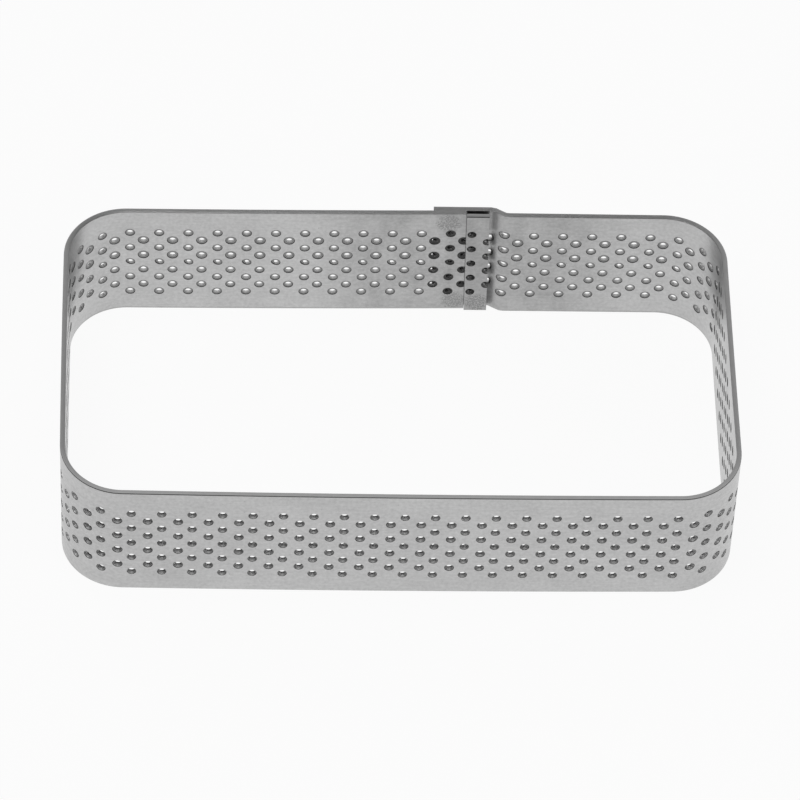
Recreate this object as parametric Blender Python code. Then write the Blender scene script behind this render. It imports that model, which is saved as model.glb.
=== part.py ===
"""Perforated tart ring: a rounded rectangle bent from one strip of punched stainless steel.

The strip starts at the back, where its outer end laps behind the inner end. From there it steps
in through a joggle and runs clockwise, seen from above, round the four corners to its inner end.
A short sliver of the same punched strip closes what is left of the inner face, and spot welds
hold both to the lap. The one strip is modelled in sections that meet face to face on the plain
webs between the columns of holes: one section for each flat side, corner and lapped end.

Units are metres. +X runs along the ring, +Y to the back, where the lap is, and +Z is up. The
origin is the middle of the ring's box, on the plane that its lower edge rests on.
"""
from math import atan2, cos, pi, radians, sin

import bmesh
import bpy
from mathutils import Matrix, Vector

# The ring, measured outside
RING_LENGTH = 0.161
RING_WIDTH = 0.090
RING_HEIGHT = 0.035
CORNER_RADIUS = 0.015
STRIP_THICKNESS = 0.0012

# The punched field: columns of five and of four holes by turns
HOLE_DIAMETER = 0.0023
COLUMN_PITCH = 0.00716
ROW_PITCH = 0.00527
FIELD_DROP = 0.00026
LONG_COLUMN_HOLES = 5
SHORT_COLUMN_HOLES = 4
HOLE_SIDES = 6
STAGGER_SHARE = 0.541

# The lap in the back wall, with its places measured from the ring's middle
LAP_END = 0.0092
JOGGLE_PLACE = 0.0250
JOGGLE_LENGTH = 0.0054
INNER_END = 0.0171
INNER_END_SETBACK = 0.0003
SHEET_GAP = 0.0003

# The sliver that closes the inner face
SLIVER_GAP = 0.0003
SLIVER_PROUD = 0.00025

# Spot welds between the sheets, each placed by a share of the overlap or of the sliver that it holds
WELD_DIAMETER = 0.0032
WELD_SIDES = 12
UPPER_END_WELD_SHARE = 0.49
LOWER_END_WELD_SHARE = 0.77
SLIVER_WELD_SHARE = 0.56

# Meshing
MERGE_DISTANCE = 0.000001
SMOOTH_ANGLE = radians(35)

STEEL_TINT = (0.60, 0.60, 0.59)
STEEL_ROUGHNESS = 0.34

SIDE_LENGTH = RING_LENGTH - 2 * CORNER_RADIUS
SIDE_WIDTH = RING_WIDTH - 2 * CORNER_RADIUS
BEND_RADIUS = CORNER_RADIUS - STRIP_THICKNESS / 2
JOGGLE_DEPTH = INNER_END_SETBACK + STRIP_THICKNESS + SHEET_GAP
JOGGLE_ANGLE = 2 * atan2(JOGGLE_DEPTH, JOGGLE_LENGTH)
JOGGLE_RADIUS = JOGGLE_LENGTH / (2 * sin(JOGGLE_ANGLE))
RIGHT_ANGLE = pi / 2

# The lap stands proud at the back, so the ring's own middle lies a little in front of the origin
RING_MIDDLE_Y = -JOGGLE_DEPTH / 2
BACK_WALL_Y = RING_MIDDLE_Y + RING_WIDTH / 2 - STRIP_THICKNESS / 2
LAP_Y = BACK_WALL_Y + JOGGLE_DEPTH
INNER_END_Y = BACK_WALL_Y + INNER_END_SETBACK
SLIVER_START = INNER_END + SLIVER_GAP
SLIVER_Y = BACK_WALL_Y - SLIVER_PROUD


class Route:
    """The strip's middle line in plan, drawn as a bender makes it: straight runs and arcs."""

    def __init__(self, start, heading=0.0):
        self.point, self.heading, self.length, self.moves = Vector(start), heading, 0.0, []

    def run(self, length):
        self.moves.append((self.length, self.point, self.heading, 0.0))
        self.point = self.point + length * Vector((cos(self.heading), sin(self.heading)))
        self.length += length

    def bend(self, radius, angle):
        """An arc of the given radius, where a positive angle turns left."""
        curvature = angle / abs(angle) / radius
        centre = self.point + Vector((-sin(self.heading), cos(self.heading))) / curvature
        self.moves.append((self.length, self.point, self.heading, curvature))
        self.point = centre + Matrix.Rotation(angle, 2) @ (self.point - centre)
        self.heading += angle
        self.length += radius * abs(angle)

    def at(self, distance):
        """The point and heading that far along the strip."""
        begin, point, heading, curvature = [move for move in self.moves if move[0] <= distance][-1]
        ahead = distance - begin
        if not curvature:
            return point + ahead * Vector((cos(heading), sin(heading))), heading
        centre = point + Vector((-sin(heading), cos(heading))) / curvature
        return centre + Matrix.Rotation(ahead * curvature, 2) @ (point - centre), heading + ahead * curvature

    def faces(self, distance):
        """The outer and inner face of the strip there, half a thickness to its left and right."""
        point, heading = self.at(distance)
        outward = Vector((-sin(heading), cos(heading))) * STRIP_THICKNESS / 2
        return point + outward, point - outward


def strip_route():
    """The whole strip and the distances at which its lap, joggle and corners begin and end."""
    route = Route((LAP_END, LAP_Y))
    marks = []
    route.run(JOGGLE_PLACE - JOGGLE_LENGTH / 2 - LAP_END)
    route.bend(JOGGLE_RADIUS, -JOGGLE_ANGLE)
    route.bend(JOGGLE_RADIUS, JOGGLE_ANGLE)
    marks.append(route.length)
    route.run(SIDE_LENGTH / 2 - JOGGLE_PLACE - JOGGLE_LENGTH / 2)
    for side in (SIDE_WIDTH, SIDE_LENGTH, SIDE_WIDTH + INNER_END_SETBACK, SIDE_LENGTH / 2 + INNER_END):
        marks.append(route.length)
        route.bend(BEND_RADIUS, -RIGHT_ANGLE)
        marks.append(route.length)
        route.run(side)
    return route, marks


def hole_heights(count, middle):
    """The heights of the holes in one column, evenly spaced about the middle of the field."""
    return [middle + (row - (count - 1) / 2) * ROW_PITCH for row in range(count)]


def punched_columns(length):
    """Distance and hole heights of each column, from the cut through the first to the last.

    The pitch is the nearest to COLUMN_PITCH that brings a short column to both cut ends.
    """
    pitches = max(1, round(length / COLUMN_PITCH))
    pitch = length / pitches
    middle = RING_HEIGHT / 2 - FIELD_DROP
    short, long = hole_heights(SHORT_COLUMN_HOLES, middle), hole_heights(LONG_COLUMN_HOLES, middle)
    columns = [(0.0, short)]
    for number in range(pitches):
        columns += [((number + STAGGER_SHARE) * pitch, long), ((number + 1) * pitch, short)]
    return columns


def half_cells(columns):
    """(column distance, web distance, heights) for the half cells in order along the strip."""
    cells = []
    for (before, heights_before), (after, heights_after) in zip(columns, columns[1:]):
        web = (before + after) / 2
        cells += [(before, web, heights_before), (after, web, heights_after)]
    return cells


def cell_outline(width, heights):
    """Outline of a half cell as (share of its width from the column, height), with its half holes."""
    outline = [(0.0, 0.0), (1.0, 0.0), (1.0, RING_HEIGHT), (0.0, RING_HEIGHT)]
    for height in reversed(heights):
        for step in range(HOLE_SIDES // 2 + 1):
            turn = 2 * pi * step / HOLE_SIDES
            across = HOLE_DIAMETER / 2 * sin(turn) if 0 < step < HOLE_SIDES // 2 else 0.0
            outline.append((across / width, height + HOLE_DIAMETER / 2 * cos(turn)))
    return outline


def add_half_cell(mesh, column_faces, web_faces, heights, cut_column, cut_web):
    """The two skins of a half cell, the walls of its half holes and its share of the edges.

    An end face is added along the column or the web only where the section stops there.
    """
    width = (column_faces[0] - web_faces[0]).length
    outline = cell_outline(width, heights)
    skins = []
    for on_column, on_web in zip(column_faces, web_faces):
        skin = [mesh.verts.new((*on_column.lerp(on_web, share), height)) for share, height in outline]
        mesh.faces.new(skin)
        skins.append(skin)
    for index, (share, height) in enumerate(outline):
        following = (index + 1) % len(outline)
        next_share, next_height = outline[following]
        level = height == next_height
        along_web = share == next_share == 1.0
        along_column = share == next_share == 0.0 and not level
        if (along_web and not cut_web) or (along_column and not cut_column):
            continue
        outer, inner = skins
        mesh.faces.new((outer[index], outer[following], inner[following], inner[index]))


def satin_steel(name):
    material = bpy.data.materials.new(name)
    material.use_nodes = True
    shader = material.node_tree.nodes["Principled BSDF"]
    shader.inputs["Base Color"].default_value = (*STEEL_TINT, 1.0)
    shader.inputs["Metallic"].default_value = 1.0
    shader.inputs["Roughness"].default_value = STEEL_ROUGHNESS
    return material


def add_object(name, mesh):
    """Close the bmesh's seams, turn its faces outwards and make it a named object of the scene."""
    bmesh.ops.remove_doubles(mesh, verts=mesh.verts, dist=MERGE_DISTANCE)
    bmesh.ops.recalc_face_normals(mesh, faces=mesh.faces)
    data = bpy.data.meshes.new(name)
    mesh.to_mesh(data)
    mesh.free()
    data.shade_smooth()
    data.set_sharp_from_angle(angle=SMOOTH_ANGLE)
    data.materials.append(satin_steel(name + "_steel"))
    made = bpy.data.objects.new(name, data)
    bpy.context.scene.collection.objects.link(made)
    return made


def add_section(name, route, cells, starts_at_cut, ends_at_cut):
    """One section of punched strip along the route, closed at both ends."""
    mesh = bmesh.new()
    for number, (column, web, heights) in enumerate(cells):
        first, last = number == 0, number == len(cells) - 1
        cut_column = (first and starts_at_cut) or (last and ends_at_cut)
        cut_web = (first and not starts_at_cut) or (last and not ends_at_cut)
        add_half_cell(mesh, route.faces(column), route.faces(web), heights, cut_column, cut_web)
    return add_object(name, mesh)


def nearest_web(cells, distance, round_up):
    """Index of the cell that starts at the last web before a distance, or the first web after it."""
    webs = [web for _, web, _ in cells[::2]]
    passed = sum(1 for web in webs if web < distance)
    return 2 * (passed if round_up else passed - 1) + 1


SECTION_NAMES = ("lapped_end", "back_right_side", "back_right_corner", "right_side",
                 "front_right_corner", "front_side", "front_left_corner", "left_side",
                 "back_left_corner", "back_left_side")


def add_strip():
    """The bent strip, in one section for each side and corner."""
    route, marks = strip_route()
    cells = half_cells(punched_columns(route.length))
    # Marks alternate: end of the joggle, then start and end of each corner, rounded away from it
    cuts = [nearest_web(cells, mark, number % 2 == 0) for number, mark in enumerate(marks)]
    starts = [0] + cuts
    ends = cuts + [len(cells)]
    for name, start, end in zip(SECTION_NAMES, starts, ends):
        add_section(name, route, cells[start:end], start == 0, end == len(cells))


def sliver_columns():
    """The sliver's columns, measured from its plain left edge: five holes, then four, cut through.

    It is turned end for end, so its stagger and its field's drop are those of the strip reversed.
    """
    middle = RING_HEIGHT / 2 + FIELD_DROP
    long_column = COLUMN_PITCH * (1 - STAGGER_SHARE) / 2
    short_column = long_column + COLUMN_PITCH * STAGGER_SHARE
    return [(long_column, hole_heights(LONG_COLUMN_HOLES, middle)),
            (short_column, hole_heights(SHORT_COLUMN_HOLES, middle))]


def add_sliver():
    """The closing sliver, flat in the gap between the strip's inner end and its joggle."""
    columns = sliver_columns()
    route = Route((SLIVER_START, SLIVER_Y))
    route.run(columns[-1][0])
    (first, heights), _ = columns
    cells = [(first, 0.0, heights)] + half_cells(columns)
    add_section("closing_sliver", route, cells, False, True)


def add_spot_weld(name, x, z, front, back):
    """A round nugget from the back of one sheet to the front of the next."""
    mesh = bmesh.new()
    placed = Matrix.Translation((x, (front + back) / 2, z)) @ Matrix.Rotation(RIGHT_ANGLE, 4, "X")
    bmesh.ops.create_cone(mesh, cap_ends=True, segments=WELD_SIDES, radius1=WELD_DIAMETER / 2,
                          radius2=WELD_DIAMETER / 2, depth=back - front, matrix=placed)
    add_object(name, mesh)


def add_spot_welds():
    """Two nuggets hold the inner end to the lap and one the sliver's foot, in the plain margins."""
    field = (LONG_COLUMN_HOLES - 1) * ROW_PITCH + HOLE_DIAMETER
    low = (RING_HEIGHT - field) / 4
    high = RING_HEIGHT - low
    lap_front = LAP_Y - STRIP_THICKNESS / 2
    end_back, sliver_back = INNER_END_Y + STRIP_THICKNESS / 2, SLIVER_Y + STRIP_THICKNESS / 2
    overlap, sliver_width = INNER_END - LAP_END, sliver_columns()[-1][0]
    add_spot_weld("upper_end_weld", LAP_END + UPPER_END_WELD_SHARE * overlap, high, end_back, lap_front)
    add_spot_weld("lower_end_weld", LAP_END + LOWER_END_WELD_SHARE * overlap, low, end_back, lap_front)
    add_spot_weld("sliver_weld", SLIVER_START + SLIVER_WELD_SHARE * sliver_width, low, sliver_back, lap_front)


for leftover in list(bpy.data.objects):
    bpy.data.objects.remove(leftover, do_unlink=True)
add_strip()
add_sliver()
add_spot_welds()
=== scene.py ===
"""The looks of a perforated tart ring: one punched steel strip bent into a rounded rectangle.

Lengths are metres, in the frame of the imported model: +X along the ring, +Y to the back, +Z up.
"""
from math import cos, pi, radians, sin, tan

import bpy
import numpy as np
from mathutils import Matrix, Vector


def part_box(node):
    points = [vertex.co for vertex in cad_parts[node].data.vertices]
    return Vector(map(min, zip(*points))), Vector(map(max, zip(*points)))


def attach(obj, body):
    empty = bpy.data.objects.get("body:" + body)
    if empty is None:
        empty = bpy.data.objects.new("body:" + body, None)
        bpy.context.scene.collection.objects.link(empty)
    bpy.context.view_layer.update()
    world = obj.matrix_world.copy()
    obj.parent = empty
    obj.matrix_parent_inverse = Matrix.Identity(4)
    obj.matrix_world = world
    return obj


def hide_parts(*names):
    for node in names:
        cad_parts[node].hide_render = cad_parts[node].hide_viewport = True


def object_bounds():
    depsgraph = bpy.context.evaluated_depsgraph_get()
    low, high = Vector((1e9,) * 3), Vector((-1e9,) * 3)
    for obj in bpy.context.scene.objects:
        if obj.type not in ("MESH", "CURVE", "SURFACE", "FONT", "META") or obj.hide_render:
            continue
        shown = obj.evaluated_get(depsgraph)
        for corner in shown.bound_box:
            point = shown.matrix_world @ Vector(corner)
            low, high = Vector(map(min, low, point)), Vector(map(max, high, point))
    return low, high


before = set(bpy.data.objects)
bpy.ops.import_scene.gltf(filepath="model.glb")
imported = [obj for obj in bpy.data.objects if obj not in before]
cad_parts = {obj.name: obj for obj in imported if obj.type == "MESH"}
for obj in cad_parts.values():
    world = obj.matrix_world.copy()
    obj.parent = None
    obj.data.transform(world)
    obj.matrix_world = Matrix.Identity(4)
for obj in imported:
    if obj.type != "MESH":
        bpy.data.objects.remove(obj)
cad_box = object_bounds()


# Punched strip
# One length of stainless sheet, punched flat with columns of five and of four holes by turns, then
# bent round the ring by hand, so its walls bow a little and its front corners aren't quite square. Its
# outer end laps behind the back wall and steps in through a joggle.
RING_HEIGHT = cad_box[1][2]
front_low, front_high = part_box("front_side")
lap_low, lap_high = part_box("lapped_end")
right_wall_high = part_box("back_right_side")[1]
left_wall_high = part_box("back_left_side")[1]
THICKNESS = front_high.y - front_low.y
CORNER_RADIUS = 0.015
JOGGLE_START = 0.0239
JOGGLE_TURN = radians(32)
JOGGLE_TIGHT_RADIUS = 0.00075
JOGGLE_WIDE_RADIUS = 0.0020

# What bending by hand left: sizes drawn in, a joggle that turns back less than it turned in, walls that
# turn a little, corners that turn less than a right angle, ends that lean and a lap that stands off
SHIFT_X = -0.0001
SHIFT_Y = -0.000039
LENGTH_DRAWN_IN = 0.00037
WIDTH_DRAWN_IN = 0.00068
JOGGLE_OVERTURN = radians(-0.15)
RIGHT_WALL_TURN = radians(0.43)
FRONT_WALL_TURN = radians(-1.39)
LEFT_WALL_TURN = radians(-0.74)
BACK_WALL_TURN = radians(0.86)
SQUARE_TURN = radians(-90)
FRONT_RIGHT_TURN = radians(-89.82)
FRONT_LEFT_TURN = radians(-88.46)
END_LEAN = radians(-0.35)
LAP_STAND_OFF = 0.00005
LAP_SHORT = 0.00015

# Where across the sheet, from the inside of a bend, its length stays as it was
NEUTRAL_SHARE = 0.37

# The kinds of surface, in the order of a sheet's materials: satin faces, dull metal that the punch drew
# or tore, sheared edges, bores and ends that the tools burnished, and dark edges, which are painted
# shade in the holes' mouths and in the holes over the lap, and a darker band on the upper outer rim
SATIN, DULL, SHEARED, BURNISHED, DARK = range(5)

# A hole from its mouth into the sheet, one ring a line: radius, depth, and the shares by which a worn
# punch widened it or the worst one left it closed by a torn lip, which turns as it goes in, and the
# kind of surface up to the ring before. The punch came in from the outside.
# The dark second ring on each side is painted shade round the hole's mouth.
OUTER_RINGS = [(0.00113, 0.0, 0.06, 0.0, 0.0, SATIN), (0.00105, 0.00009, 0.0, 0.0, 0.0, DARK),
               (0.00095, 0.00080, 0.0, 0.0, 0.0, BURNISHED)]
INNER_RINGS = [(0.00126, 0.0, 0.12, 0.35, radians(-120), SATIN),
               (0.00111, 0.00012, 0.12, 0.50, radians(-130), DARK),
               (0.00074, 0.00014, 0.0, 0.85, radians(-158), DULL)]
LIP_ROW = 2
WORN_ROW = 2

# The field of holes: its pitches, how low it lies, and how it drifts along the strip, where u runs from
# -1 to 1: up by FIELD_TILT * u + FIELD_CAMBER * u^2 and along by COLUMN_CREEP * u^2
COLUMN_PITCH = 0.00716
ROW_PITCH = 0.00532
ROW_STEP = ROW_PITCH / 4
STAGGER_SHARE = 0.541
LONG_COLUMN = 5
SHORT_COLUMN = 4
FIELD_DROP = 0.00055
FIELD_TILT = -0.00012
FIELD_CAMBER = 0.00032
FADE_POWER = 8
COLUMN_CREEP = -0.00012

# The lower and the upper rim of each face, worn by handling: reach along the face, depth into the cut,
# how far the shears left the cut's edge short of the full height, and the kind of surface
OUTER_RIMS = [(0.00003, 0.00003, 0.0, SHEARED), (0.00028, 0.00005, 0.0, DARK)]
INNER_RIMS = [(0.00045, 0.00004, 0.0, SHEARED), (0.00010, 0.00010, 0.00012, SHEARED)]

# How far along from the centres of its end column each end is cut, and how much the cuts lean
LAP_CUT = 0.0004
INNER_END_CUT = 0.00045
CUT_LEAN = 0.017

MERGE_DISTANCE = 0.0000001
SHARP_ANGLE = radians(35)

# A worn rim from the cut to the face, as shares of its reach and of its depth
EDGE_SHARES = np.array([[0, 1], [0.18, 0.45], [1, 0]])

# Steps round a hole's cell, from its right middle, in quarters of its width and of a row. A cell
# reaches CELL_STEPS from its middle each way.
CELL_STEPS = 2
STEPS_ACROSS = np.array([2, 2, 2, 1, 0, -1, -2, -2, -2, -2, -2, -1, 0, 1, 2, 2])
STEPS_UP = np.array([0, 1, 2, 2, 2, 2, 2, 1, 0, -1, -2, -2, -2, -2, -2, -1])
RING_POINTS = len(STEPS_ACROSS)

# The step at which the cells of an end column are cut, and the ring points that lie on the cut
CUT_STEP = 1
CUT_POINTS = [3, 13]

# A wall that starts deeper than this under a face is one that a punch tore
TORN_DEPTH = 0.0005

# Each side of a sheet: its rings, the row from which they are widened, its columns that have the lap
# behind them, whose dull rings are painted dark as the lap's shade, and its rims
COLUMNS_OVER_LAP = 3
OUTER_SIDE = (OUTER_RINGS, 0, 0, OUTER_RIMS)
INNER_SIDE = (INNER_RINGS, WORN_ROW, COLUMNS_OVER_LAP, INNER_RIMS)


def plan_line(start, stretches):
    """A sheet's middle line in plan from (length, turn) stretches, measured on the flat sheet.

    A bend stretches the sheet outside its neutral line, so a stretch of length l that turns by t takes
    l - (1/2 - NEUTRAL_SHARE) * THICKNESS * |t| of the flat sheet.
    """
    lengths, turns = np.array(stretches).T
    headings = np.concatenate([[0.0], np.cumsum(turns)])
    chords = lengths * np.sinc(turns / (2 * pi)) * np.exp(1j * (headings[:-1] + turns / 2))
    points = complex(*start) + np.concatenate([[0.0], np.cumsum(chords)])
    flats = lengths - (0.5 - NEUTRAL_SHARE) * THICKNESS * np.abs(turns)
    begins = np.concatenate([[0.0], np.cumsum(flats)])
    return begins, points, headings, lengths, turns


def along(line, distance):
    """Points and headings that far along a plan line.

    A share q into a stretch of length l that turns by t from heading h, the chord from its start is
    q * l * sin(qt/2) / (qt/2) long and heads along h + qt/2.
    """
    begins, points, headings, lengths, turns = line
    stretch = np.clip(np.searchsorted(begins, distance, side="right") - 1, 0, len(lengths) - 1)
    share = (distance - begins[stretch]) / (begins[stretch + 1] - begins[stretch])
    turn = turns[stretch] * share
    chord = lengths[stretch] * share * np.sinc(turn / (2 * pi))
    return points[stretch] + chord * np.exp(1j * (headings[stretch] + turn / 2)), headings[stretch] + turn


def column_lines(centres, left, right):
    """Five upright lines a column: left web, halfway, hole centres, halfway, right web."""
    webs = (centres[1:] + centres[:-1]) / 2
    before = np.concatenate([[left], webs])
    after = np.concatenate([webs, [right]])
    return np.stack([before, (before + centres) / 2, centres, (centres + after) / 2, after], axis=1)


def punched_skin(lines, kept, counts, middle, height, lean, holes, worn_row, backed_columns, rims):
    """One skin of a punched sheet laid flat: quads of (distance, height, depth under it) and their kinds.

    A hole's cell is one row high and runs from web to web. Sixteen points round its outline join the
    rings in holes, each at centre + r * (cos a, sin a) for sixteen equal angles a. A ring's r is its
    radius, times 1 + its widening from worn_row up in the columns of four, and in the middle row of the
    columns of five times 1 - its lip share * c, where c is cos(a - lip side) and at least 0. The last
    backed_columns have the lap behind them, so their dull rings take the dark kind as painted shade for
    the light that the lap keeps from them. Over and under the holes the cells go on as plain bands up to
    the worn rims. A column in kept with a step of 1 is cut there: its cut line leans, and the two points
    of each ring next to it lie at the angle whose cosine is the line's distance from the centre over the
    ring's radius.
    """
    def distance(column, step, z):
        leans = (kept[column] == CUT_STEP).any(axis=-1) & (step == CUT_STEP)
        return lines[column, step + CELL_STEPS] + leans * lean * (height / 2 - z)

    column = np.repeat(np.arange(len(lines)), counts)
    row = np.arange(len(column)) - np.repeat(np.cumsum(counts) - counts, counts)
    z = middle + (row - (counts[column] - 1) / 2) * ROW_PITCH
    column, z = column[:, None], z[:, None]
    short = counts[column] < LONG_COLUMN
    worn = short & (row[:, None] >= worn_row)
    torn = ~short & (row[:, None] == LIP_ROW)
    cut = (kept[column[:, 0]] == CUT_STEP).any(axis=1)
    centre = lines[column, CELL_STEPS]
    offset = distance(column, np.full_like(column, CUT_STEP), z) - centre
    outline_z = z + STEPS_UP * ROW_STEP
    rings = [np.stack([distance(column, STEPS_ACROSS[None], outline_z), outline_z, 0 * outline_z], -1)]
    for radius, depth, widening, lip, lip_side, _ in holes:
        angle = np.tile(2 * pi * np.arange(RING_POINTS) / RING_POINTS, (len(z), 1))
        angle[np.ix_(cut, CUT_POINTS)] = np.arccos(np.clip(offset[cut] / radius, -1, 1)) * [1, -1]
        raised = np.clip(np.cos(angle - lip_side), 0, 1)
        ring_radius = radius * (1 + widening * worn) * (1 - lip * torn * raised)
        ring_z = z + ring_radius * np.sin(angle)
        ring_u = centre + ring_radius * np.cos(angle)
        on_line = distance(column, np.full_like(column, CUT_STEP), ring_z)
        ring_u[np.ix_(cut, CUT_POINTS)] = on_line[np.ix_(cut, CUT_POINTS)]
        rings.append(np.stack([ring_u, ring_z, np.full_like(ring_z, depth)], -1))
    rings = np.stack(rings, axis=1)
    onward = np.roll(rings, -1, axis=2)
    sectors = np.stack([rings[:, :-1], onward[:, :-1], onward[:, 1:], rings[:, 1:]], axis=-2)
    lowest = np.minimum(STEPS_ACROSS, np.roll(STEPS_ACROSS, -1))
    highest = np.maximum(STEPS_ACROSS, np.roll(STEPS_ACROSS, -1))
    whole = (kept[column, 0] <= lowest) & (highest <= kept[column, 1])
    quads = [sectors.transpose(0, 2, 1, 3, 4)[whole].reshape(-1, 4, 3)]
    ring_kinds = np.array([ring[-1] for ring in holes])
    # Painted shade: over the lap the dull rings take the dark kind.
    backed = column[..., None] >= len(lines) - backed_columns
    ring_kinds = np.where(backed & (ring_kinds == DULL), DARK, ring_kinds)
    kinds = [np.broadcast_to(ring_kinds, (*whole.shape, len(holes)))[whole].ravel()]

    half_field = LONG_COLUMN * ROW_PITCH / 2
    for side, edge, (reach, deep, fall, rim_kind) in ((1, middle - half_field, rims[0]),
                                                      (-1, height - middle - half_field, rims[1])):
        levels = np.concatenate([EDGE_SHARES * (reach, deep) + (fall, 0), [[edge, 0]]])
        more = np.stack([edge + ROW_STEP * np.arange(CELL_STEPS + 1), np.zeros(CELL_STEPS + 1)], -1)
        for chosen, band in ((np.arange(len(lines)), levels), (np.flatnonzero(counts < LONG_COLUMN), more)):
            steps = np.arange(-CELL_STEPS, CELL_STEPS)
            step, level, place = np.meshgrid(steps, np.arange(len(band) - 1), chosen)
            step, level, place = (values.ravel() for values in (step, level, place))
            inside = (kept[place, 0] <= step) & (step + 1 <= kept[place, 1])
            step, level, place = step[inside], level[inside], place[inside]
            corners = []
            for across, up in ((0, 0), (1, 0), (1, 1), (0, 1)):
                z, depth = band[level + up].T
                z = z if side == 1 else height - z
                corners.append(np.stack([distance(place, step + across, z), z, depth], -1))
            quads.append(np.stack(corners, axis=1)[:, ::side])
            kinds.append(np.where((band[level, 1] > 0) | (band[level + 1, 1] > 0), rim_kind, SATIN))
    return np.concatenate(quads), np.concatenate(kinds)


def punched_sheet(name, lines, kept, counts, middle, height, lean, outer_side, inner_side, place):
    """A closed sheet of both skins with walls between their rims, its flat places kept in a UV map.

    The skins' quads match one to one, so both take their shared points from the outer one. Edges that
    one quad alone uses are rims. Walls are dull where they tear through a hole, burnished across an end
    and sheared along the sheet. Faces of different kinds meet in crisp lines.
    """
    outer, outer_kinds = punched_skin(lines, kept, counts, middle, height, lean, *outer_side)
    inner, inner_kinds = punched_skin(lines, kept, counts, middle, height, lean, *inner_side)
    keys = np.round(outer.reshape(-1, 3)[:, :2] / MERGE_DISTANCE).astype(np.int64)
    _, first, index = np.unique(keys, axis=0, return_index=True, return_inverse=True)
    faces = index.reshape(-1, 4)
    count = len(first)
    edges = np.stack([faces, np.roll(faces, -1, axis=1)], axis=-1).reshape(-1, 2)
    rims = edges[~np.isin(edges[:, 0] * count + edges[:, 1], edges[:, 1] * count + edges[:, 0])]
    walls = np.stack([rims[:, 1] + count, rims[:, 0] + count, rims[:, 0], rims[:, 1]], axis=1)
    all_faces = np.concatenate([faces[:, ::-1], faces + count, walls])
    distance, height, depth = np.concatenate([outer.reshape(-1, 3)[first], inner.reshape(-1, 3)[first]]).T
    off = np.repeat([1, -1], count) * (THICKNESS / 2 - depth)
    mesh = bpy.data.meshes.new(name)
    mesh.from_pydata(place(distance, height, off).tolist(), [], all_faces.tolist())

    wall_kinds = np.where(np.ptp(height[rims], axis=1) > MERGE_DISTANCE, BURNISHED, SHEARED)
    wall_kinds[depth[walls].max(axis=1) > TORN_DEPTH] = DULL
    kind = np.concatenate([outer_kinds, inner_kinds, wall_kinds])
    flat = np.stack([distance, height], -1)[all_faces]
    across = np.stack([distance + height, off], -1)[all_faces]
    places = np.where(kind[:, None, None] == SATIN, flat, across)
    mesh.uv_layers.new(name="flat_pattern").data.foreach_set("uv", places.ravel())
    mesh.polygons.foreach_set("material_index", kind)
    mesh.polygons.foreach_set("use_smooth", np.ones(len(all_faces), dtype=bool))
    mesh.set_sharp_from_angle(angle=SHARP_ANGLE)
    edge_of_corner = np.empty(len(mesh.loops), dtype=np.int32)
    mesh.loops.foreach_get("edge_index", edge_of_corner)
    kinds = np.zeros((2, len(mesh.edges)), dtype=int)
    kinds[0] = DARK
    np.minimum.at(kinds[0], edge_of_corner, np.repeat(kind, 4))
    np.maximum.at(kinds[1], edge_of_corner, np.repeat(kind, 4))
    sharp = np.empty(len(mesh.edges), dtype=bool)
    mesh.attributes["sharp_edge"].data.foreach_get("value", sharp)
    mesh.attributes["sharp_edge"].data.foreach_set("value", sharp | (kinds[0] != kinds[1]))
    mesh.update()
    made = bpy.data.objects.new(name, mesh)
    bpy.context.scene.collection.objects.link(made)
    return made


joggle_depth = lap_high.y - right_wall_high.y + LAP_STAND_OFF
joggle_radii = JOGGLE_TIGHT_RADIUS + JOGGLE_WIDE_RADIUS
joggle_slope = (joggle_depth - joggle_radii * (1 - cos(JOGGLE_TURN))) / sin(JOGGLE_TURN)
joggle_end = JOGGLE_START + joggle_radii * sin(JOGGLE_TURN) + joggle_slope * cos(JOGGLE_TURN)
bend_radius = CORNER_RADIUS - THICKNESS / 2
half_side = (cad_box[1][0] - cad_box[0][0] - LENGTH_DRAWN_IN) / 2 - CORNER_RADIUS
side_width = right_wall_high.y - front_low.y - WIDTH_DRAWN_IN - 2 * CORNER_RADIUS
inner_end_setback = left_wall_high.y - right_wall_high.y
strip_line = plan_line((lap_low.x + SHIFT_X + LAP_SHORT, lap_high.y - THICKNESS / 2 + SHIFT_Y), [
    (JOGGLE_START - lap_low.x - LAP_SHORT, 0.0),
    (JOGGLE_TIGHT_RADIUS * JOGGLE_TURN, -JOGGLE_TURN), (joggle_slope, 0.0),
    (JOGGLE_WIDE_RADIUS * JOGGLE_TURN, JOGGLE_TURN + JOGGLE_OVERTURN),
    (half_side - joggle_end, 0.0), (-bend_radius * SQUARE_TURN, SQUARE_TURN - JOGGLE_OVERTURN),
    (side_width, RIGHT_WALL_TURN), (-bend_radius * FRONT_RIGHT_TURN, FRONT_RIGHT_TURN),
    (2 * half_side, FRONT_WALL_TURN), (-bend_radius * FRONT_LEFT_TURN, FRONT_LEFT_TURN),
    (side_width + inner_end_setback, LEFT_WALL_TURN), (-bend_radius * SQUARE_TURN, SQUARE_TURN),
    (half_side + left_wall_high.x, BACK_WALL_TURN),
])
strip_length = strip_line[0][-1]
pitches = round(strip_length / COLUMN_PITCH)
pitch = strip_length / pitches
column_number = np.arange(2 * pitches + 1)
column_centres = (column_number // 2 + STAGGER_SHARE * (column_number % 2)) * pitch
column_centres += COLUMN_CREEP * (column_number / pitches - 1) ** 2
column_counts = np.where(column_number % 2 == 0, SHORT_COLUMN, LONG_COLUMN)
column_kept = np.tile([-CELL_STEPS, CELL_STEPS], (len(column_number), 1))
column_kept[0, 0] = CUT_STEP
column_kept[-1, 1] = CUT_STEP
strip_lines = column_lines(column_centres, -COLUMN_PITCH / 4, strip_length + COLUMN_PITCH / 4)
strip_lines[0, CELL_STEPS + CUT_STEP] = LAP_CUT
strip_lines[-1, CELL_STEPS + CUT_STEP] = strip_length + INNER_END_CUT
field_middle = RING_HEIGHT / 2 - FIELD_DROP


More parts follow.
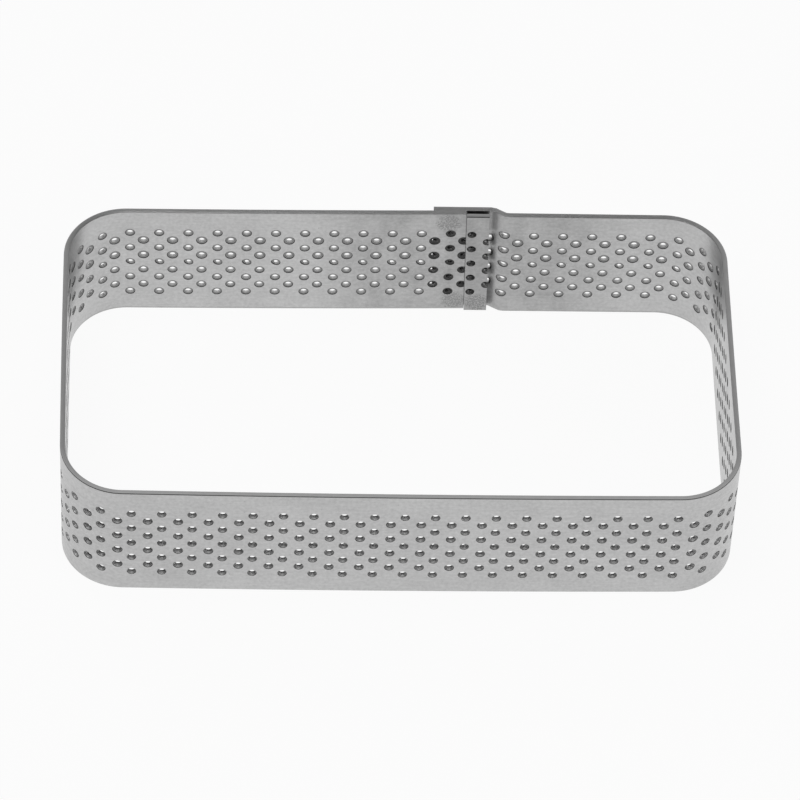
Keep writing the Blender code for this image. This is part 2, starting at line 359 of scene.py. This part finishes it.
def bend_strip(distance, height, off):
    """The strip's points in the ring: off to the left of its plan line, with the ends' lean.

    The lean shifts y by tan(END_LEAN) * (height over the middle) * x / half_side. The field's drift in
    height fades out towards the rims by 1 - v^FADE_POWER, where v runs from -1 to 1 up the strip.
    """
    middle, heading = along(strip_line, distance)
    bent = middle + off * 1j * np.exp(1j * heading)
    v = 2 * height / RING_HEIGHT - 1
    u = 2 * distance / strip_length - 1
    shift = tan(END_LEAN) * v * RING_HEIGHT / 2 * bent.real / half_side
    wander = (FIELD_TILT * u + FIELD_CAMBER * u ** 2) * (1 - v ** FADE_POWER)
    return np.stack([bent.real, bent.imag + shift, height + wander], -1)


strip = punched_sheet("strip", strip_lines, column_kept, column_counts, field_middle, RING_HEIGHT, CUT_LEAN,
                      OUTER_SIDE, INNER_SIDE, bend_strip)


def add_node(tree, kind, inputs=None, **settings):
    """A shader node with its settings, and with its inputs set or linked by name."""
    node = tree.nodes.new(kind)
    for name, value in settings.items():
        setattr(node, name, value)
    for socket, value in (inputs or {}).items():
        if isinstance(value, bpy.types.NodeSocket):
            tree.links.new(value, node.inputs[socket])
        else:
            node.inputs[socket].default_value = value
    return node


def grey(value):
    """A neutral colour."""
    return (value, value, value, 1)


# The colour sockets of a mix node
COLOUR_A, COLOUR_B, COLOUR_RESULT = 6, 7, 2

# Noises of the satin sheet: cycles a metre along and up the flat pattern, and detail. Most of a noise
# lies between NOISE_LOW and NOISE_HIGH.
GRAIN = ((120, 2400, 1), 5)
MOTTLE = ((1100, 1100, 1), 4)
BROAD_TONE = ((70, 110, 1), 3)
SPECKS = ((1500, 1500, 1), 1)
RAGGED = ((900, 900, 1), 4)
PATCHES = ((110, 60, 1), 2)
SPATTER = ((2400, 2400, 1), 2)
NOISE_ROUGHNESS = 0.6
NOISE_LOW = 0.3
NOISE_HIGH = 0.7

# What the noises do: shares of the tone, the span from the dark to the light grey, where specks start
# and how dark they are, how dull the patches are, and how far and how strongly spatter reaches
GRAIN_SHARE = 0.25
MOTTLE_SHARE = 0.5
BROAD_SHARE = 0.25
SHADE_SPAN = (0.45, 1.05)
SPECK_SPAN = (0.73, 0.80)
SPECK_SHADE = 0.5
PATCH_SPAN = (0.12, 0.48)
SPATTER_SPAN = (0.45, 0.58)
SPATTER_SHADE = 1.2
SPATTER_CORE = 0.0018
SPATTER_REACH = 0.0034
SPATTER_SHARE = 0.95
RAGGED_REACH = 0.0006
ROUGHNESS_SWING = 0.05
GRAIN_RELIEF_SHARE = 0.3
SATIN_RELIEF = 0.00002
CUT_LINES = (400, 5000, 1)
CUT_LINE_DETAIL = 3
CUT_RELIEF = 0.00003
# How far painted shade darkens the cut edges towards the inner face and lightens them towards the outer
# face
PAINTED_SIDE_SHADE = 0.25
RELIEF_STRENGTH = 0.5


def satin_steel(name, dark, light, roughness, welds, dull_ends):
    """Satin rolled stainless: grain drawn out along the sheet, a faint mottle and small dark specks.

    Dark and light are greys. Spatter lies round the spot welds, each (distance, height) on the flat
    pattern. Near the joint the steel is duller in patches: fully at the first distance of each of
    dull_ends, no more at the second.
    """
    material = bpy.data.materials.new(name)
    material.use_nodes = True
    tree = material.node_tree
    shader = tree.nodes["Principled BSDF"]
    flat = add_node(tree, "ShaderNodeUVMap", uv_map="flat_pattern").outputs["UV"]

    def noise(stretch, detail):
        placed = add_node(tree, "ShaderNodeMapping", {"Vector": flat, "Scale": stretch}).outputs["Vector"]
        return add_node(tree, "ShaderNodeTexNoise", {"Vector": placed, "Scale": 1.0, "Detail": detail,
                                                     "Roughness": NOISE_ROUGHNESS}).outputs["Fac"]

    def ranged(value, low, high, to_low, to_high):
        return add_node(tree, "ShaderNodeMapRange", {"Value": value, "From Min": low, "From Max": high,
                                                     "To Min": to_low, "To Max": to_high}).outputs["Result"]

    def combine(operation, first, second):
        return add_node(tree, "ShaderNodeMath", {0: first, 1: second}, operation=operation).outputs["Value"]

    grain = noise(*GRAIN)
    mottle = noise(*MOTTLE)
    broad = noise(*BROAD_TONE)
    tone = combine("ADD", combine("MULTIPLY", grain, GRAIN_SHARE),
                   combine("MULTIPLY", mottle, MOTTLE_SHARE))
    tone = combine("ADD", tone, combine("MULTIPLY", broad, BROAD_SHARE))
    specks = ranged(noise(*SPECKS), *SPECK_SPAN, 0.0, SPECK_SHADE)
    weld_dull = 0.0
    for weld in welds:
        away = add_node(tree, "ShaderNodeVectorMath", {0: flat, 1: (*weld, 0.0)}, operation="DISTANCE")
        ragged = ranged(noise(*RAGGED), NOISE_LOW, NOISE_HIGH, -RAGGED_REACH, RAGGED_REACH)
        ragged = combine("ADD", away.outputs["Value"], ragged)
        near = ranged(ragged, SPATTER_CORE, SPATTER_REACH, SPATTER_SHARE, 0.0)
        weld_dull = combine("MAXIMUM", weld_dull, near)
    distance = add_node(tree, "ShaderNodeSeparateXYZ", {"Vector": flat}).outputs["X"]
    joint_dull = 0.0
    for full, none in dull_ends:
        joint_dull = combine("MAXIMUM", joint_dull, ranged(distance, full, none, 1.0, 0.0))
    patches = ranged(noise(*PATCHES), NOISE_LOW, NOISE_HIGH, *PATCH_SPAN)
    shade = combine("SUBTRACT", ranged(tone, NOISE_LOW, NOISE_HIGH, *SHADE_SPAN), specks)
    shade = combine("SUBTRACT", shade, combine("MULTIPLY", joint_dull, patches))
    spatter = ranged(noise(*SPATTER), *SPATTER_SPAN, 0.0, SPATTER_SHADE)
    shade = combine("SUBTRACT", shade, combine("MULTIPLY", weld_dull, spatter))
    colour = add_node(tree, "ShaderNodeMix", {"Factor": shade, COLOUR_A: grey(dark), COLOUR_B: grey(light)},
                      data_type="RGBA")
    tree.links.new(colour.outputs[COLOUR_RESULT], shader.inputs["Base Color"])
    rough = ranged(tone, NOISE_LOW, NOISE_HIGH, roughness + ROUGHNESS_SWING, roughness - ROUGHNESS_SWING)
    tree.links.new(rough, shader.inputs["Roughness"])
    relief = combine("ADD", combine("MULTIPLY", grain, GRAIN_RELIEF_SHARE), mottle)
    bump = add_node(tree, "ShaderNodeBump", {"Height": relief, "Distance": SATIN_RELIEF,
                                             "Strength": RELIEF_STRENGTH})
    tree.links.new(bump.outputs["Normal"], shader.inputs["Normal"])
    shader.inputs["Metallic"].default_value = 1.0
    return material


def sheared_steel(name, dark, light, roughness):
    """Sheared, punched and dark edges: fine lines across the thickness, with painted shade darker towards
    the inner face.
    """
    material = bpy.data.materials.new(name)
    material.use_nodes = True
    tree = material.node_tree
    shader = tree.nodes["Principled BSDF"]
    flat = add_node(tree, "ShaderNodeUVMap", uv_map="flat_pattern").outputs["UV"]
    placed = add_node(tree, "ShaderNodeMapping", {"Vector": flat, "Scale": CUT_LINES}).outputs["Vector"]
    lines = add_node(tree, "ShaderNodeTexNoise", {"Vector": placed, "Scale": 1.0,
                                                  "Detail": CUT_LINE_DETAIL})
    across = add_node(tree, "ShaderNodeSeparateXYZ", {"Vector": flat}).outputs["Y"]
    # Painted shade: lighter towards the outer face, darker towards the inner face.
    side = add_node(tree, "ShaderNodeMapRange", {"Value": across, "From Min": -THICKNESS / 2,
                                                 "From Max": THICKNESS / 2, "To Min": -PAINTED_SIDE_SHADE,
                                                 "To Max": PAINTED_SIDE_SHADE}).outputs["Result"]
    shade = add_node(tree, "ShaderNodeMath", {0: lines.outputs["Fac"], 1: side}, operation="ADD")
    colour = add_node(tree, "ShaderNodeMix", {"Factor": shade.outputs["Value"], COLOUR_A: grey(dark),
                                              COLOUR_B: grey(light)}, data_type="RGBA")
    tree.links.new(colour.outputs[COLOUR_RESULT], shader.inputs["Base Color"])
    bump = add_node(tree, "ShaderNodeBump", {"Height": lines.outputs["Fac"], "Distance": CUT_RELIEF,
                                             "Strength": RELIEF_STRENGTH})
    tree.links.new(bump.outputs["Normal"], shader.inputs["Normal"])
    shader.inputs["Roughness"].default_value = roughness
    shader.inputs["Metallic"].default_value = 1.0
    return material


# Where spatter lies, and how far from the lap's end and from the inner end the sheet is fully dull and
# no longer dull
UPPER_WELD_HEIGHT = 0.0315
LOWER_WELD_HEIGHT = 0.0030
LAP_DULL = (0.028, 0.050)
INNER_END_DULL = (0.022, 0.036)

# The greys and the roughness of each kind of surface, in the order of the kinds
STRIP_SATIN = (0.27, 0.58, 0.34)
# The dark edge is painted shade in the holes' mouths and over the lap, and a darker band on the upper outer
# rim.
STRIP_EDGES = [("strip_dull", 0.18, 0.32, 0.3), ("strip_cut_edge", 0.35, 0.53, 0.3),
               ("strip_bore", 0.58, 0.78, 0.5), ("strip_dark_edge_and_shade", 0.04, 0.12, 0.5)]

upper_weld_low, upper_weld_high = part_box("upper_end_weld")
lower_weld_low, lower_weld_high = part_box("lower_end_weld")
weld_places = [((upper_weld_low.x + upper_weld_high.x) / 2, UPPER_WELD_HEIGHT),
               ((lower_weld_low.x + lower_weld_high.x) / 2, LOWER_WELD_HEIGHT)]
strip_welds = [(strip_length + x - left_wall_high.x, z) for x, z in weld_places]
strip_welds += [(x - lap_low.x, z) for x, z in weld_places]
strip_dull_ends = [LAP_DULL, tuple(strip_length - far for far in INNER_END_DULL)]
strip.data.materials.append(satin_steel("strip_satin", *STRIP_SATIN, strip_welds, strip_dull_ends))
for edge_steel in STRIP_EDGES:
    strip.data.materials.append(sheared_steel(*edge_steel))
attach(strip, "root")
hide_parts("lapped_end", "back_right_side", "back_right_corner", "right_side", "front_right_corner",
            "front_side", "front_left_corner", "left_side", "back_left_corner", "back_left_side")


# Closing sliver
# A narrow offcut of the same punched sheet, turned end for end and inside out, that fills the inner
# face between the strip's inner end and its joggle. It leans a little and stands proud at the top.
sliver_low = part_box("closing_sliver")[0]
SLIVER_FIRST_COLUMN = 0.00137
SLIVER_CUT = 0.0003
SLIVER_LEAN = 0.017
SLIVER_CUT_LEAN = 0.001
SLIVER_TILT = 0.011
SLIVER_TOP_DROP = 0.00015
SLIVER_FIELD_RISE = 0.0001
SLIVER_SATIN = (0.24, 0.52, 0.36)
# The sliver's dull walls and bores are darker copies of the strip's: painted shade for the light that the
# lap behind it keeps from them.
SLIVER_EDGES = [("sliver_dull_painted_shade", 0.12, 0.26, 0.3), ("sliver_cut_edge", 0.22, 0.40, 0.3),
                ("sliver_bore_painted_shade", 0.30, 0.46, 0.5), ("sliver_dark_edge_and_shade", 0.04, 0.12, 0.5)]

# Distances far past the sliver, so that it is dull from end to end
DULL_ALL_OVER = (1.0, 2.0)

sliver_height = RING_HEIGHT - SLIVER_TOP_DROP
sliver_centres = np.array([SLIVER_FIRST_COLUMN, SLIVER_FIRST_COLUMN + COLUMN_PITCH * STAGGER_SHARE])
sliver_counts = np.array([LONG_COLUMN, SHORT_COLUMN])
sliver_kept = np.array([[-CELL_STEPS, CELL_STEPS], [-CELL_STEPS, CUT_STEP]])
sliver_lines = column_lines(sliver_centres, 0.0, sliver_centres[-1] + COLUMN_PITCH / 4)
sliver_lines[-1, CELL_STEPS + CUT_STEP] = sliver_centres[-1] + SLIVER_CUT


def place_sliver(distance, height, off):
    """The sliver's points: x leans and y tilts with the height above the sheet's middle."""
    above = height - RING_HEIGHT / 2
    x = sliver_low.x + SLIVER_LEAN * RING_HEIGHT / 2 + distance - SLIVER_LEAN * above
    y = sliver_low.y + SLIVER_TILT * RING_HEIGHT / 2 + THICKNESS / 2 + off - SLIVER_TILT * above
    return np.stack([x, y, height], -1)


sliver = punched_sheet("closing_sliver_sheet", sliver_lines, sliver_kept, sliver_counts,
                       RING_HEIGHT / 2 + SLIVER_FIELD_RISE, sliver_height, SLIVER_CUT_LEAN,
                       INNER_SIDE, OUTER_SIDE, place_sliver)
sliver_weld_low, sliver_weld_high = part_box("sliver_weld")
sliver_weld_x = (sliver_weld_low.x + sliver_weld_high.x) / 2
sliver_welds = [(sliver_weld_x - sliver_low.x, LOWER_WELD_HEIGHT)]
sliver.data.materials.append(satin_steel("sliver_satin", *SLIVER_SATIN, sliver_welds, [DULL_ALL_OVER]))
for edge_steel in SLIVER_EDGES:
    sliver.data.materials.append(sheared_steel(*edge_steel))
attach(sliver, "root")
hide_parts("closing_sliver")


# Spot welds
# Three fused nuggets in the gap between the sheets, two behind the inner end and one behind the
# sliver's foot. Each is waisted where the molten metal drew in as it set.
WELD_AROUND = 24
WELD_ALONG = 8
WELD_WAIST_SHARE = 0.22
weld_material = sheared_steel("weld_fused", dark=0.25, light=0.43, roughness=0.5)


def add_weld(node):
    """A nugget in its node's box: radius R (1 - w sin(pi v)) along v from sheet to sheet, ends closed."""
    low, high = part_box(node)
    radius = (high.x - low.x) / 2
    v, a = np.meshgrid(np.linspace(0, 1, WELD_ALONG + 1), 2 * pi * np.arange(WELD_AROUND) / WELD_AROUND,
                       indexing="ij")
    r = radius * (1 - WELD_WAIST_SHARE * np.sin(pi * v))
    x, z = (low.x + high.x) / 2 + r * np.cos(a), (low.z + high.z) / 2 + r * np.sin(a)
    points = np.stack([x, low.y + (high.y - low.y) * v, z], -1).reshape(-1, 3)
    start = np.arange(WELD_ALONG * WELD_AROUND).reshape(WELD_ALONG, WELD_AROUND)
    onward = np.roll(start, -1, axis=1)
    sides = np.stack([start, onward, onward + WELD_AROUND, start + WELD_AROUND], -1).reshape(-1, 4)
    faces = sides[:, ::-1].tolist()
    faces += [list(range(WELD_AROUND)), list(range(WELD_ALONG * WELD_AROUND, len(points)))[::-1]]
    mesh = bpy.data.meshes.new(node + "_nugget")
    mesh.from_pydata(points.tolist(), [], faces)
    mesh.shade_smooth()
    mesh.set_sharp_from_angle(angle=SHARP_ANGLE)
    mesh.materials.append(weld_material)
    nugget = bpy.data.objects.new(mesh.name, mesh)
    bpy.context.scene.collection.objects.link(nugget)
    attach(nugget, "root")
    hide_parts(node)


for weld_node in ("upper_end_weld", "lower_end_weld", "sliver_weld"):
    add_weld(weld_node)


# Pale table
# A white paper table under the ring, seen white by the camera and in the steel. Only its matt share
# takes light, so the ring's shadow is faint.
FLOOR_REACH = 3.0
FLOOR_DROP = 0.00002
PAPER_GREY = 0.85
SEEN_SHARE = 0.93
floor_mesh = bpy.data.meshes.new("table_top")
floor_mesh.from_pydata([(-FLOOR_REACH, -FLOOR_REACH, -FLOOR_DROP), (FLOOR_REACH, -FLOOR_REACH, -FLOOR_DROP),
                        (FLOOR_REACH, FLOOR_REACH, -FLOOR_DROP), (-FLOOR_REACH, FLOOR_REACH, -FLOOR_DROP)],
                       [], [(0, 1, 2, 3)])
floor = bpy.data.objects.new("table_top", floor_mesh)
bpy.context.scene.collection.objects.link(floor)
paper = bpy.data.materials.new("white_paper")
paper.use_nodes = True
paper_tree = paper.node_tree
paper_tree.nodes.clear()
path = add_node(paper_tree, "ShaderNodeLightPath")
seen = add_node(paper_tree, "ShaderNodeMath", {0: path.outputs["Is Camera Ray"],
                                               1: path.outputs["Is Glossy Ray"]}, operation="MAXIMUM")
seen_share = add_node(paper_tree, "ShaderNodeMath", {0: seen.outputs["Value"], 1: SEEN_SHARE},
                      operation="MULTIPLY")
matt = add_node(paper_tree, "ShaderNodeBsdfDiffuse", {"Color": grey(PAPER_GREY)})
white = add_node(paper_tree, "ShaderNodeEmission", {"Color": grey(1), "Strength": 1.0})
mixed = add_node(paper_tree, "ShaderNodeMixShader", {0: seen_share.outputs["Value"],
                                                     1: matt.outputs["BSDF"],
                                                     2: white.outputs["Emission"]})
add_node(paper_tree, "ShaderNodeOutputMaterial", {"Surface": mixed.outputs["Shader"]})
floor.data.materials.append(paper)


# Studio light
# A grey room, brightest low behind the ring and dark round the camera, so that rims and bores are darker
# than the walls, which reflect the white table, and two large square lamps that point at the ring.
BACKDROP_WHITE = 0.956

# The room's brightest side, how nearly that way a ray must head to see any glow, and the two greys
BRIGHT_SIDE = (0.0, 0.95, 0.31)
BRIGHT_EDGE = 0.65
ROOM_DARK = 0.15
ROOM_BRIGHT = 0.80

# Each lamp's place, width and watts
SOFTBOXES = [("overhead_softbox", (-0.3, -0.2, 1.4), 1.0, 9.0),
             ("side_softbox", (1.2, -0.6, 0.8), 0.8, 4.0)]

world = bpy.data.worlds.new("grey_room")
bpy.context.scene.world = world
world.use_nodes = True
world_tree = world.node_tree
world_tree.nodes.clear()
sight = add_node(world_tree, "ShaderNodeLightPath")
towards = add_node(world_tree, "ShaderNodeTexCoord").outputs["Generated"]
facing = add_node(world_tree, "ShaderNodeVectorMath", {0: towards, 1: BRIGHT_SIDE}, operation="DOT_PRODUCT")
glow = add_node(world_tree, "ShaderNodeMapRange", {"Value": facing.outputs["Value"],
                                                   "From Min": BRIGHT_EDGE, "From Max": 1.0,
                                                   "To Min": ROOM_DARK, "To Max": ROOM_BRIGHT})
room = add_node(world_tree, "ShaderNodeBackground", {"Color": grey(1), "Strength": glow.outputs["Result"]})
backdrop = add_node(world_tree, "ShaderNodeBackground", {"Color": grey(1), "Strength": BACKDROP_WHITE})
either = add_node(world_tree, "ShaderNodeMixShader", {0: sight.outputs["Is Camera Ray"],
                                                      1: room.outputs["Background"],
                                                      2: backdrop.outputs["Background"]})
add_node(world_tree, "ShaderNodeOutputWorld", {"Surface": either.outputs["Shader"]})

for softbox, place, width, power in SOFTBOXES:
    lamp = bpy.data.lights.new(softbox, "AREA")
    lamp.size = width
    lamp.energy = power
    lamp_object = bpy.data.objects.new(softbox, lamp)
    lamp_object.location = place
    lamp_object.rotation_euler = (-lamp_object.location).to_track_quat("-Z", "Y").to_euler()
    bpy.context.scene.collection.objects.link(lamp_object)


# Camera
# The photograph's view, from a fit of the ring's rows of holes and outline.
LENS_MM = 258.728
SENSOR_MM = 36.0
CAMERA_PLACE = (-0.04741, -0.89343, 1.07307)
LOOK_DOWN = radians(49.7513)
TURN_RIGHT = radians(3.1033)
ROLL = radians(2.8933)
camera_data = bpy.data.cameras.new("camera")
camera_data.lens = LENS_MM
camera_data.sensor_width = SENSOR_MM
camera = bpy.data.objects.new("camera", camera_data)
aim = Matrix.Rotation(-TURN_RIGHT, 4, "Z") @ Matrix.Rotation(pi / 2 - LOOK_DOWN, 4, "X")
camera.matrix_world = Matrix.Translation(CAMERA_PLACE) @ aim @ Matrix.Rotation(ROLL, 4, "Z")
bpy.context.scene.collection.objects.link(camera)
bpy.context.scene.camera = camera
bpy.context.scene.view_settings.view_transform = "Standard"
